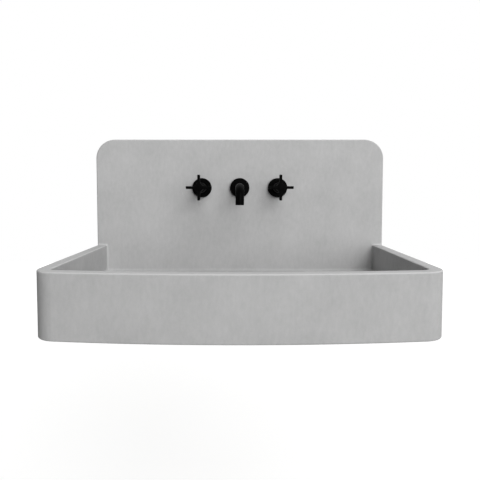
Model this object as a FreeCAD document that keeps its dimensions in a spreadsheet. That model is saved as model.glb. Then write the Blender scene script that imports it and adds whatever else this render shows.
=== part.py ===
import FreeCAD, Part
import math
import os
import re

import Sketcher

# A wall-hung concrete sink: bowl, apron and splashback in one casting, two cross-handle taps and a
# spout through the splashback, and a push-plug waste in the bowl. Millimetres, +Z up. The origin lies
# on the wall plane, in the middle of the width, at the height of the bowl's rim. The sink reaches
# from the wall towards -Y, and the supply side of the taps lies behind the wall plane.

Vector = FreeCAD.Vector
doc = FreeCAD.newDocument("concrete_sink")
sheet = doc.addObject("Spreadsheet::Sheet", "Sizes")
nodes = []

SIZES = {
    # Casting
    "basin_width": 760,
    "basin_depth": 450,
    "wall_thick": 25,
    "bow_radius": 2900,
    "front_corner_radius": 45,
    "splash_thick": 25,
    "splash_height": 280,
    "splash_corner_radius": 50,
    "bowl_depth": 69,
    "bowl_corner_radius": 20,
    "back_cove_radius": 5,
    "floor_cove_radius": 7,
    "floor_thick": 36,
    "floor_fall": 13,
    "fall_margin": 20,
    "flat_margin": 9,
    "skirt_depth": 22,
    "recess_corner_radius": 20,
    "edge_radius": 3,
    "drain_setback": 225,
    # Wall brackets
    "bracket_spacing": 400,
    "bracket_width": 40,
    "bracket_steel": 6,
    "bracket_front_gap": 125,
    "bracket_drop": 90,
    "gusset_steel": 5,
    "gusset_setback": 100,
    "gusset_lift": 14,
    "wall_hole_radius": 5.5,
    "wall_hole_top": 30,
    "wall_hole_lift": 20,
    "pad_thick": 2,
    "bolt_setback": 80,
    "bolt_front_margin": 60,
    "bolt_radius": 4,
    "bolt_hole_gap": 0.5,
    "bolt_head_lip": 3.5,
    "bolt_head_height": 5.3,
    "bolt_washer_width": 3.5,
    "bolt_washer_thick": 1.6,
    "insert_wall": 2.4,
    "insert_length": 18,
    "insert_spare": 4,
    "fitted_gap": 0.1,
    # Tap holes and clamping
    "tap_height": 152.7,
    "tap_spacing": 200,
    "tap_hole_gap": 1,
    "tap_recess_gap": 2.5,
    "tap_recess_depth": 8,
    "rear_washer_thick": 2,
    "front_washer_thick": 1.5,
    "locknut_wall": 5.4,
    "locknut_thick": 4.5,
    "flange_lip": 6.5,
    "flange_thick": 4,
    "neck_wall": 2.3,
    "neck_step": 2.5,
    "neck_grip": 12,
    "neck_hole_gap": 0.4,
    "barrel_radius": 17,
    # Valve and cartridge
    "port_depth": 30.15,
    "valve_end_wall": 4,
    "chamber_radius": 8,
    "chamber_length": 14,
    "seat_thick": 4,
    "cartridge_wall": 1,
    "cartridge_gap": 0.2,
    "cartridge_head_inset": 0.3,
    "cartridge_head_height": 6,
    "disc_radius": 6.7,
    "disc_gap": 0.3,
    "disc_thick": 3,
    "disc_port_radius": 1.5,
    "disc_port_offset": 3.4,
    "seal_thick": 2,
    "seal_width": 1.7,
    "window_radius": 2,
    "foot_height": 3.7,
    "foot_gap": 0.3,
    "spindle_radius": 4,
    "running_gap": 0.05,
    # Rosettes and handles
    "rosette_margin": 3.5,
    "rosette_spare": 0.5,
    "rosette_wall": 2.5,
    "rosette_edge": 1.8,
    "sleeve_wall": 2.4,
    "sleeve_spare": 10,
    "handle_gap": 0.4,
    "hub_length": 59.15,
    "hub_root_length": 9,
    "hub_tip_radius": 8.5,
    "hub_tip_length": 9,
    "arm_thick": 6.9,
    "arm_reach": 31.4,
    "arm_cove_radius": 12,
    "arm_tip_flat": 2.25,
    "arm_edge_flat": 2.45,
    "spindle_bite": 32,
    "screw_radius": 2,
    "screw_hole_gap": 0.3,
    "screw_bite": 12,
    "screw_spare": 3,
    "screw_head_lip": 1.6,
    "screw_head_height": 2,
    "screw_head_gap": 0.9,
    "screw_head_spare": 0.4,
    "cap_lip": 2,
    "cap_thick": 2,
    "cap_edge": 1,
    # Spout and its supply
    "spout_radius": 11,
    "spout_wall": 3.5,
    "spout_reach": 150,
    "spout_bend_radius": 26,
    "spout_tip_length": 16,
    "spout_taper": 1.4,
    "spout_socket_wall": 1.9,
    "spout_socket_spare": 0.4,
    "tee_tail": 20,
    "tee_end_wall": 6,
    "tee_wall": 3,
    "aerator_wall": 1.3,
    "aerator_ring": 1.8,
    "aerator_height": 9,
    "aerator_setback": 1,
    "aerator_lip": 1,
    "jet_plate_thick": 3,
    "jet_radius": 0.9,
    "jet_ring_radius": 3.8,
    "port_wall": 3.4,
    "port_sink": 5,
    "port_length": 10,
    "port_bore": 5,
    "pipe_radius": 7.5,
    "pipe_wall": 1,
    "pipe_socket": 8,
    "pipe_nut_wall": 3.5,
    "pipe_nut_length": 15,
    "pipe_nut_grip": 7,
    "inlet_radius": 10.48,
    "inlet_collar_lip": 0.5,
    "inlet_collar_reach": 20,
    "inlet_thread": 25,
    "inlet_bore": 6,
    # Waste
    "drain_hole_gap": 2.05,
    "drain_recess_gap": 1.5,
    "waste_tube_radius": 20.95,
    "waste_wall": 3.45,
    "waste_thread_spare": 11,
    "waste_flange_lip": 10.55,
    "waste_flange_thick": 3,
    "waste_seal_thick": 2,
    "waste_tail_radius": 16,
    "waste_tail_wall": 1.5,
    "waste_tail_length": 42,
    "waste_tail_bite": 8,
    "waste_edge": 1,
    "lower_seal_width": 7.95,
    "lower_seal_thick": 4,
    "back_nut_wall": 9.95,
    "back_nut_thick": 10,
    "crossbar_web": 1.4,
    "crossbar_height": 6,
    "crossbar_level": 28,
    "click_neck_wall": 1.45,
    "click_shoulder": 2.5,
    "click_height": 14,
    "plug_inset": 0.5,
    "plug_thick": 5,
    "plug_edge": 2,
    "plug_seal_margin": 2.5,
    "plug_seal_width": 7,
    "plug_seal_thick": 2,
    "stem_radius": 4,
    "stem_length": 46,
}

# Lengths that differ by less than this count as equal
NEAR = 1e-3

for row, (alias, value) in enumerate(SIZES.items(), 1):
    sheet.set(f"A{row}", alias)
    sheet.set(f"B{row}", str(value))
    sheet.setAlias(f"B{row}", alias)
doc.recompute()


def formula(text):
    """The expression that binds a property to a sum of sizes, such as "wall_thick + pad_thick / 2"."""
    return re.sub(r"[a-z]\w*", r"Sizes.\g<0>", text)


def number(text):
    """The present value of such a sum."""
    total = 0.0
    for sign, term in re.findall(r"([+-]?)\s*([\w.][\w. */]*)", text):
        product = 1.0
        for mark, word in re.findall(r"([*/]?)\s*([\w.]+)", term):
            factor = float(sheet.get(word)) if word[0].isalpha() else float(word)
            product = product / factor if mark == "/" else product * factor
        total += -product if sign == "-" else product
    return total


def negated(text):
    """The same sum with every sign turned round."""
    turned_round = re.sub(r"[+-]", lambda sign: "-" if sign.group() == "+" else "+", text)
    return turned_round if text.lstrip().startswith("-") else "- " + turned_round


def joined(first, second):
    """Two sums as one."""
    return f"{first} {second}" if second.lstrip()[0] in "+-" else f"{first} + {second}"


def bind(thing, **sums):
    """Bind properties of an object to sums of sizes."""
    for name, text in sums.items():
        thing.setExpression(name, formula(text))
    return thing


def locate(thing, x, y, z, rotation=None):
    """Put an object at a place given by sums of sizes."""
    if rotation:
        thing.Placement = FreeCAD.Placement(Vector(), rotation)
    for axis, text in zip("xyz", (x, y, z)):
        thing.setExpression(f"Placement.Base.{axis}", formula(text))
    return thing


def node(thing, label):
    """Name a finished piece and keep it for writing."""
    thing.Label = label
    nodes.append(thing)
    return thing


# Directions for pieces that are drawn along +Z
TO_FRONT = FreeCAD.Rotation(Vector(1, 0, 0), 90)
TO_RIGHT = FreeCAD.Rotation(Vector(0, 1, 0), 90)
TO_LEFT = FreeCAD.Rotation(Vector(0, 1, 0), -90)
DOWN = FreeCAD.Rotation(Vector(1, 0, 0), 180)


def flat_sketch(body, plane, name, offset=None):
    """A sketch on one of the body's own planes, raised along the plane's normal by a sum of sizes."""
    support = [item for item in body.Origin.OriginFeatures if item.Role == plane][0]
    sketch = body.newObject("Sketcher::SketchObject", name)
    sketch.AttachmentSupport = [(support, "")]
    sketch.MapMode = "FlatFace"
    if offset:
        sketch.setExpression("AttachmentOffset.Base.z", formula(offset))
    return sketch


def dimension(sketch, kind, geometry, point, text):
    """Hold one coordinate of a sketch point at a sum of sizes."""
    if text == "0":
        axis = -2 if kind == "DistanceX" else -1
        sketch.addConstraint(Sketcher.Constraint("PointOnObject", geometry, point, axis))
        return
    size = number(text)
    if size < 0:
        held = Sketcher.Constraint(kind, geometry, point, -1, 1, -size)
        text = negated(text)
    else:
        held = Sketcher.Constraint(kind, -1, 1, geometry, point, size)
    index = sketch.addConstraint(held)
    sketch.setExpression(f"Constraints[{index}]", formula(text))


def outline(sketch, corners):
    """A closed outline through corners (x, y, arc), each a sum of sizes.

    The arc of a corner is the radius of the stretch that leaves it, with a minus sign where the
    arc's centre lies to the right of the way round, or None where the stretch is straight.
    """
    places = [Vector(number(x), number(y), 0) for x, y, arc in corners]
    ends = []
    for index, (x, y, arc) in enumerate(corners):
        start, stop = places[index], places[(index + 1) % len(places)]
        if arc is None:
            sketch.addGeometry(Part.LineSegment(start, stop))
            ends.append((1, 2))
            continue
        side = -1 if arc.startswith("-") else 1
        radius = number(arc.lstrip("- "))
        chord = stop - start
        left = Vector(-chord.y, chord.x, 0).normalize()
        centre = (start + stop) / 2 + left * side * math.sqrt(radius**2 - chord.Length**2 / 4)
        first, last = (start, stop) if side > 0 else (stop, start)
        angles = [math.atan2(point.y - centre.y, point.x - centre.x) for point in (first, last)]
        circle = Part.Circle(centre, Vector(0, 0, 1), radius)
        sketch.addGeometry(Part.ArcOfCircle(circle, *angles))
        ends.append((1, 2) if side > 0 else (2, 1))
    for index, (x, y, arc) in enumerate(corners):
        following = (index + 1) % len(corners)
        joint = (index, ends[index][1], following, ends[following][0])
        sketch.addConstraint(Sketcher.Constraint("Coincident", *joint))
        dimension(sketch, "DistanceX", index, ends[index][0], x)
        dimension(sketch, "DistanceY", index, ends[index][0], y)
        if arc is not None:
            text = arc.lstrip("- ")
            held = sketch.addConstraint(Sketcher.Constraint("Radius", index, number(text)))
            sketch.setExpression(f"Constraints[{held}]", formula(text))


def circles(sketch, centres, radius):
    """Equal circles at centres given by sums of sizes."""
    for index, (x, y) in enumerate(centres):
        circle = Part.Circle(Vector(number(x), number(y), 0), Vector(0, 0, 1), number(radius))
        sketch.addGeometry(circle)
        dimension(sketch, "DistanceX", index, 3, x)
        dimension(sketch, "DistanceY", index, 3, y)
        held = sketch.addConstraint(Sketcher.Constraint("Radius", index, number(radius)))
        sketch.setExpression(f"Constraints[{held}]", formula(radius))


def pad(body, sketch, length, reversed_way=False):
    """Raise a sketch by a sum of sizes."""
    feature = body.newObject("PartDesign::Pad", sketch.Name + "_pad")
    feature.Profile = sketch
    feature.Reversed = reversed_way
    return bind(feature, Length=length)


def pocket(body, sketch, depth, reversed_way=False):
    """Sink a sketch by a sum of sizes, and make sure that it takes material away."""
    doc.recompute()
    before = body.Shape.Volume
    feature = body.newObject("PartDesign::Pocket", sketch.Name + "_pocket")
    feature.Profile = sketch
    feature.Reversed = reversed_way
    bind(feature, Length=depth)
    doc.recompute()
    if body.Shape.Volume >= before:
        raise ValueError(f"{feature.Name} cuts nothing")
    return feature


def rounded(body, name, radius, chosen):
    """Round the edges of a body that a test chooses."""
    doc.recompute()
    base = body.Tip
    names = [f"Edge{index}" for index, edge in enumerate(base.Shape.Edges, 1) if chosen(edge)]
    feature = body.newObject("PartDesign::Fillet", name)
    feature.Base = (base, names)
    return bind(feature, Radius=radius)


def turned(name, profile):
    """A turned piece along its own Z axis, from an outline of (radius, height) corners."""
    body = doc.addObject("PartDesign::Body", name)
    sketch = flat_sketch(body, "XZ_Plane", name + "_profile")
    outline(sketch, [(radius, height, None) for radius, height in profile])
    spin = body.newObject("PartDesign::Revolution", name + "_spin")
    spin.Profile = sketch
    spin.ReferenceAxis = (sketch, ["V_Axis"])
    spin.Angle = 360
    return body


def ring(name, inner, outer, start, stop):
    """A turned ring between two radii and two heights."""
    return turned(name, [(inner, start), (outer, start), (outer, stop), (inner, stop)])


def cylinder(name, radius, height):
    """A plain cylinder along its own Z axis."""
    return bind(doc.addObject("Part::Cylinder", name), Radius=radius, Height=height)


def hexagon(name, radius, height):
    """A six-sided prism along its own Z axis, its radius measured to the corners."""
    prism = doc.addObject("Part::Prism", name)
    prism.Polygon = 6
    return bind(prism, Circumradius=radius, Height=height)


def fused(name, shapes):
    """Several shapes as one solid."""
    joined = doc.addObject("Part::MultiFuse", name)
    joined.Shapes = shapes
    joined.Refine = True
    return joined


def cut(name, base, tools):
    """A shape with others taken away."""
    result = doc.addObject("Part::Cut", name)
    result.Base = base
    result.Tool = tools[0] if len(tools) == 1 else fused(name + "_tools", tools)
    return result


def group(name, shapes):
    """Equal separate pieces that share one node."""
    together = doc.addObject("Part::Compound", name)
    together.Links = shapes
    return together


# Concrete casting, whose holes take their sizes from the necks and the waste that pass through them

UNDERSIDE = "- bowl_depth - floor_thick"
SKIRT_BOTTOM = UNDERSIDE + " - skirt_depth"
DRAIN = ("0", "- drain_setback")
DRAIN_LEVEL = "- bowl_depth - floor_fall"
WASTE_FLANGE = "waste_tube_radius + waste_flange_lip"
FLANGE_RECESS = WASTE_FLANGE + " + drain_recess_gap"
CHAMBER = "disc_radius + disc_gap"
CARTRIDGE = CHAMBER + " + cartridge_wall"
NECK_BORE = CARTRIDGE + " + cartridge_gap"
NECK_TIP_RADIUS = NECK_BORE + " + neck_wall"
NECK = NECK_TIP_RADIUS + " + neck_step"
FLANGE = NECK + " + flange_lip"
BRACKET_REACH = "basin_depth - wall_thick - bracket_front_gap"
INSERT = "bolt_radius + fitted_gap + insert_wall"


def plan(sketch, half_width, back, front, bow):
    """A plan outline: straight back and sides, and a front that bows out about a point behind the wall.

    The front is the distance from the wall plane to the middle of the bow.
    """
    half, radius = number(half_width), number(bow)
    middle = radius - number(front)
    side_end = middle - math.sqrt(radius**2 - half**2)
    back_left, back_right = Vector(-half, -number(back), 0), Vector(half, -number(back), 0)
    front_right, front_left = Vector(half, side_end, 0), Vector(-half, side_end, 0)
    angles = [math.atan2(end.y - middle, end.x) for end in (front_left, front_right)]
    sketch.addGeometry(Part.LineSegment(back_left, back_right))
    sketch.addGeometry(Part.LineSegment(back_right, front_right))
    bowed = Part.Circle(Vector(0, middle, 0), Vector(0, 0, 1), radius)
    sketch.addGeometry(Part.ArcOfCircle(bowed, *angles))
    sketch.addGeometry(Part.LineSegment(front_left, back_left))
    for joint in ((0, 2, 1, 1), (1, 2, 2, 2), (2, 1, 3, 1), (3, 2, 0, 1)):
        sketch.addConstraint(Sketcher.Constraint("Coincident", *joint))
    sketch.addConstraint(Sketcher.Constraint("Horizontal", 0))
    sketch.addConstraint(Sketcher.Constraint("Vertical", 1))
    sketch.addConstraint(Sketcher.Constraint("Vertical", 3))
    dimension(sketch, "DistanceX", 1, 1, half_width)
    dimension(sketch, "DistanceX", 3, 1, negated(half_width))
    dimension(sketch, "DistanceY", 0, 1, "0" if back == "0" else negated(back))
    dimension(sketch, "DistanceX", 2, 3, "0")
    dimension(sketch, "DistanceY", 2, 3, f"{bow} {negated(front)}")
    held = sketch.addConstraint(Sketcher.Constraint("Radius", 2, radius))
    sketch.setExpression(f"Constraints[{held}]", formula(bow))


def upright(edge):
    """Whether an edge is straight and runs along Z."""
    return edge.BoundBox.XLength + edge.BoundBox.YLength < NEAR


def level(edge, z):
    """Whether an edge lies flat at a height."""
    return abs(edge.BoundBox.ZMin - z) < NEAR and abs(edge.BoundBox.ZMax - z) < NEAR


def front_corner(edge, half_width):
    """Whether an edge is an upright front corner of a plan of that half width."""
    in_front = edge.BoundBox.YMax < -number("splash_thick")
    return upright(edge) and in_front and abs(abs(edge.BoundBox.XMin) - half_width) < NEAR


def make_basin():
    """Bowl, apron and splashback in one casting, open at the back underneath for the brackets."""
    body = doc.addObject("PartDesign::Body", "concrete_basin")
    across, inner = "basin_width / 2", "basin_width / 2 - wall_thick"
    inner_front, inner_bow = "basin_depth - wall_thick", "bow_radius - wall_thick"

    block = flat_sketch(body, "XY_Plane", "apron_plan")
    plan(block, across, "0", "basin_depth", "bow_radius")
    pad(body, block, negated(SKIRT_BOTTOM), reversed_way=True)
    rounded(
        body, "apron_corners", "front_corner_radius",
        lambda edge: front_corner(edge, number(across)),
    )

    # The splashback has the full width and round upper corners
    splash = flat_sketch(body, "XZ_Plane", "splash_front")
    inset, shoulder = across + " - splash_corner_radius", "splash_height - splash_corner_radius"
    outline(splash, [
        (negated(across), "0", None),
        (across, "0", None),
        (across, shoulder, "splash_corner_radius"),
        (inset, "splash_height", None),
        (negated(inset), "splash_height", "splash_corner_radius"),
        (negated(across), shoulder, None),
    ])
    pad(body, splash, "splash_thick")

    # The bowl, with a cove round its floor
    bowl = flat_sketch(body, "XY_Plane", "bowl_plan")
    plan(bowl, inner, "splash_thick", inner_front, inner_bow)
    pocket(body, bowl, "bowl_depth")
    rounded(
        body, "bowl_corners", "bowl_corner_radius",
        lambda edge: front_corner(edge, number(inner)),
    )
    rounded(
        body, "floor_cove", "floor_cove_radius",
        lambda edge: level(edge, -number("bowl_depth")),
    )

    # Four falls run from a level margin to the flat round the drain
    margin = flat_sketch(body, "XY_Plane", "fall_top", "- bowl_depth")
    plan(
        margin, inner + " - fall_margin", "splash_thick + fall_margin",
        inner_front + " - fall_margin", inner_bow + " - fall_margin",
    )
    flat = flat_sketch(body, "XY_Plane", "fall_bottom", DRAIN_LEVEL)
    side = FLANGE_RECESS + " + flat_margin"
    near, far = "- drain_setback + " + side, "- drain_setback " + negated(side)
    outline(flat, [
        (negated(side), near, None),
        (side, near, None),
        (side, far, None),
        (negated(side), far, None),
    ])
    falls = body.newObject("PartDesign::SubtractiveLoft", "floor_falls")
    falls.Profile = margin
    falls.Sections = [flat]
    falls.Ruled = True

    # Hollow underside behind the skirt, open towards the wall
    hollow = flat_sketch(body, "XY_Plane", "underside_plan", SKIRT_BOTTOM)
    plan(hollow, inner, "0", inner_front, inner_bow)
    pocket(body, hollow, "skirt_depth", reversed_way=True)
    rounded(
        body, "underside_corners", "recess_corner_radius",
        lambda edge: front_corner(edge, number(inner)) and edge.BoundBox.ZMax < number("- bowl_depth"),
    )

    # Drain hole with a recess for the waste's flange
    seat = flat_sketch(body, "XY_Plane", "flange_recess", DRAIN_LEVEL)
    circles(seat, [DRAIN], FLANGE_RECESS)
    pocket(body, seat, "waste_flange_thick + waste_seal_thick")
    hole = flat_sketch(body, "XY_Plane", "drain_hole", DRAIN_LEVEL)
    circles(hole, [DRAIN], "waste_tube_radius + drain_hole_gap")
    pocket(body, hole, "floor_thick")

    # Three tap holes, recessed from behind so that flanges and washers stay inside the thickness
    taps = [(x, "tap_height") for x in ("- tap_spacing / 2", "0", "tap_spacing / 2")]
    holes = flat_sketch(body, "XZ_Plane", "tap_holes")
    circles(holes, taps, NECK + " + tap_hole_gap")
    pocket(body, holes, "splash_thick", reversed_way=True)
    recesses = flat_sketch(body, "XZ_Plane", "tap_recesses")
    circles(recesses, taps, FLANGE + " + tap_recess_gap")
    pocket(body, recesses, "tap_recess_depth", reversed_way=True)

    # Sockets for the threaded inserts
    sockets = flat_sketch(body, "XY_Plane", "insert_sockets", UNDERSIDE)
    circles(sockets, bolt_places(), INSERT + " + fitted_gap")
    pocket(body, sockets, "insert_length", reversed_way=True)

    # Every edge that a hand can reach is eased
    def eased(edge):
        box = edge.BoundBox
        on_rim = level(edge, 0) and box.YMin < -number("splash_thick") - NEAR
        on_skirt = level(edge, number(SKIRT_BOTTOM)) and not hidden(box)
        return on_rim or on_skirt or round_splash(edge)

    def hidden(box):
        along_wall = box.YMax > -NEAR and box.YLength < NEAR
        within = max(-box.XMin, box.XMax) < number(inner) + NEAR
        return along_wall or within and -box.YMin < number(inner_front) + NEAR

    def round_splash(edge):
        box = edge.BoundBox
        on_face = abs(box.YMin + number("splash_thick")) < NEAR and box.YLength < NEAR
        tap_hole = box.ZMin > NEAR and len(edge.Vertexes) == 1
        return on_face and box.ZMin > -NEAR and box.ZMax > NEAR and not tap_hole

    rounded(body, "eased_edges", "edge_radius", eased)

    # A cove runs up each back corner of the bowl, over the rim and along the foot of the splashback
    def back_corner(edge):
        box = edge.BoundBox
        on_splash = abs(box.YMin + number("splash_thick")) < NEAR
        return upright(edge) and on_splash and abs(abs(box.XMin) - number(inner)) < NEAR and box.ZMax < 0

    rounded(body, "back_coves", "back_cove_radius", back_corner)
    return node(body, "concrete_basin")


def bolt_rows():
    """How far in front of the wall the bolts stand, as places along Y."""
    return "- bolt_setback", negated(BRACKET_REACH) + " + bolt_front_margin"


def bolt_places():
    """The four bolts that hold the casting down on its brackets."""
    return [(f"{side} bracket_spacing / 2", row) for side in ("-", "+") for row in bolt_rows()]


make_basin()

# Wall brackets, pads and the bolts between steel and concrete

BRACKET_TOP = UNDERSIDE + " - pad_thick"
BOLT_HOLE = "bolt_radius + bolt_hole_gap"


def make_bracket(side, sign):
    """A steel angle with a welded gusset along one edge, bolted to the wall and up into the casting."""
    body = doc.addObject("PartDesign::Body", f"wall_bracket_{side}")
    angle = flat_sketch(body, "YZ_Plane", f"{side}_angle")
    outline(angle, [
        ("0", "0", None),
        (negated(BRACKET_REACH), "0", None),
        (negated(BRACKET_REACH), "- bracket_steel", None),
        ("- bracket_steel", "- bracket_steel", None),
        ("- bracket_steel", "- bracket_drop", None),
        ("0", "- bracket_drop", None),
    ])
    pad(body, angle, "bracket_width")
    gusset = flat_sketch(body, "YZ_Plane", f"{side}_gusset")
    outline(gusset, [
        ("- bracket_steel", "- bracket_steel", None),
        (negated(BRACKET_REACH) + " + gusset_setback", "- bracket_steel", None),
        ("- bracket_steel", "- bracket_drop + gusset_lift", None),
    ])
    pad(body, gusset, "gusset_steel")
    wall_holes = flat_sketch(body, "XZ_Plane", f"{side}_wall_holes")
    rows = ("- wall_hole_top", "- bracket_drop + wall_hole_lift")
    circles(wall_holes, [("bracket_width / 2", row) for row in rows], "wall_hole_radius")
    pocket(body, wall_holes, "bracket_steel", reversed_way=True)
    bolt_holes = flat_sketch(body, "XY_Plane", f"{side}_bolt_holes")
    circles(bolt_holes, [("bracket_width / 2", row) for row in bolt_rows()], BOLT_HOLE)
    pocket(body, bolt_holes, "bracket_steel")
    corner = f"{sign} bracket_spacing / 2 - bracket_width / 2"
    locate(body, corner, "0", BRACKET_TOP)
    node(body, f"wall_bracket_{side}")

    # Rubber pad between the bracket and the concrete
    slab = doc.addObject("Part::Box", f"{side}_pad_slab")
    bind(slab, Length="bracket_width", Width=BRACKET_REACH, Height="pad_thick")
    locate(slab, corner, negated(BRACKET_REACH), BRACKET_TOP)
    holes = []
    for index, (x, y) in enumerate(bolt_places()):
        if x.startswith(sign):
            hole = cylinder(f"{side}_pad_hole_{index}", BOLT_HOLE, "pad_thick")
            holes.append(locate(hole, x, y, BRACKET_TOP))
    node(cut(f"bracket_pad_{side}", slab, holes), f"bracket_pad_{side}")


def make_bolts():
    """Four hexagon bolts with washers, from below into inserts that are cast into the underside."""
    washer_level = BRACKET_TOP + " - bracket_steel - bolt_washer_thick"
    head_level = washer_level + " - bolt_head_height"
    tip_level = UNDERSIDE + " + insert_length - insert_spare"
    bolts, washers, inserts = [], [], []
    for index, (x, y) in enumerate(bolt_places()):
        head = hexagon(f"bolt_head_{index}", "bolt_radius + bolt_head_lip", "bolt_head_height")
        locate(head, x, y, head_level)
        shank = cylinder(f"bolt_shank_{index}", "bolt_radius", f"{tip_level} {negated(head_level)}")
        locate(shank, x, y, head_level)
        bolts.append(fused(f"bolt_{index}", [head, shank]))
        edge = BOLT_HOLE + " + bolt_washer_width"
        washer = ring(f"bolt_washer_{index}", BOLT_HOLE, edge, "0", "bolt_washer_thick")
        washers.append(locate(washer, x, y, washer_level))
        insert = ring(f"insert_{index}", "bolt_radius + fitted_gap", INSERT, "0", "insert_length")
        inserts.append(locate(insert, x, y, UNDERSIDE))
    node(group("bolt_group", bolts), "bracket_bolts")
    node(group("washer_group", washers), "bracket_washers")
    node(group("insert_group", inserts), "threaded_inserts")


make_bracket("left", "-")
make_bracket("right", "+")
make_bolts()

# Levels along a tap's axis, counted from the wall plane towards the front

FLANGE_FRONT = "tap_recess_depth - rear_washer_thick"
FLANGE_BACK = FLANGE_FRONT + " - flange_thick"
NECK_STEP = "splash_thick + front_washer_thick + locknut_thick"
ROSETTE_FRONT = NECK_STEP + " + rosette_spare + rosette_wall"
NECK_TIP = ROSETTE_FRONT + " + neck_grip"
SLEEVE_FRONT = NECK_TIP + " + cartridge_head_height + sleeve_spare"
HUB_BACK = SLEEVE_FRONT + " + handle_gap"
SPINDLE_TIP = HUB_BACK + " + spindle_bite"
CROSS_BACK = HUB_BACK + " + hub_length"
CROSS_FRONT = CROSS_BACK + " + arm_thick"

# Depths behind the wall plane. The side ports lie level with the spindle's foot, and the discs, the
# seal, the seat and the chamber follow behind it.

FOOT_DEPTH = "port_depth + foot_height / 2"
SEAT_DEPTH = FOOT_DEPTH + " + 2 * disc_thick + seal_thick"
VALVE_REAR = SEAT_DEPTH + " + seat_thick + chamber_length + valve_end_wall"
TEE_REAR = "port_depth + tee_tail"

# Sizes that several pieces of the taps share

SLEEVE_BORE = NECK_TIP_RADIUS + " + fitted_gap"
SLEEVE = SLEEVE_BORE + " + sleeve_wall"
SEAL_BORE = "disc_radius - seal_width"
SCREW_HEAD = "screw_radius + screw_head_lip"
SCREW_RECESS = SCREW_HEAD + " + screw_head_gap"
RECESS_DEPTH = "screw_head_height + screw_head_spare"
PORT = "pipe_radius + fitted_gap + port_wall"
PORT_ROOT = "barrel_radius - port_sink"
PORT_REACH = "barrel_radius + port_length"


def clamp_pieces(name, x):
    """Washers on both sides of the splashback and the nut that clamps a neck to it."""
    bore = NECK + " + neck_hole_gap"
    rear = ring(f"{name}_rear_washer", bore, FLANGE, FLANGE_FRONT, "tap_recess_depth")
    front = ring(
        f"{name}_front_washer", bore, FLANGE,
        "splash_thick", "splash_thick + front_washer_thick",
    )
    for washer in (rear, front):
        node(locate(washer, x, "0", "tap_height", TO_FRONT), washer.Name)
    nut = hexagon(f"{name}_nut_blank", NECK + " + locknut_wall", "locknut_thick")
    hole = cylinder(f"{name}_nut_hole", NECK + " + fitted_gap", "locknut_thick")
    for shape in (nut, hole):
        locate(shape, x, "- splash_thick - front_washer_thick", "tap_height", TO_FRONT)
    node(cut(f"{name}_locknut", nut, [hole]), f"{name}_locknut")


def rosette(name, x, neck):
    """A pressed cover over the nut, held against the splashback by what screws on to the neck."""
    rim, back = FLANGE + " + rosette_margin", ROSETTE_FRONT + " - rosette_wall"
    edge_radius, hole = rim + " + rosette_wall", neck + " + neck_hole_gap"
    cover = turned(name, [
        (rim, "splash_thick"),
        (edge_radius, "splash_thick"),
        (edge_radius, ROSETTE_FRONT),
        (hole, ROSETTE_FRONT),
        (hole, back),
        (rim, back),
    ])
    rounded(
        cover, f"{name}_edge", "rosette_edge",
        lambda edge: level(edge, number(ROSETTE_FRONT)) and not on_axis(edge, number(rim)),
    )
    node(locate(cover, x, "0", "tap_height", TO_FRONT), name)


def side_port(name, x, sign, to_side):
    """The outside, bore and pipe socket of a port that leaves a body sideways."""
    side, back = (PORT_REACH, "- pipe_socket") if sign == "+" else (negated(PORT_REACH), "+ pipe_socket")
    root = PORT_ROOT if sign == "+" else negated(PORT_ROOT)
    outside = cylinder(f"{name}_boss", PORT, "port_sink + port_length")
    locate(outside, joined(x, root), "port_depth", "tap_height", to_side)
    bore = cylinder(f"{name}_bore", "port_bore", PORT_REACH)
    locate(bore, x, "port_depth", "tap_height", to_side)
    socket = cylinder(f"{name}_socket", "pipe_radius + fitted_gap", "pipe_socket")
    locate(socket, joined(joined(x, side), back), "port_depth", "tap_height", to_side)
    return outside, [bore, socket]


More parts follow.
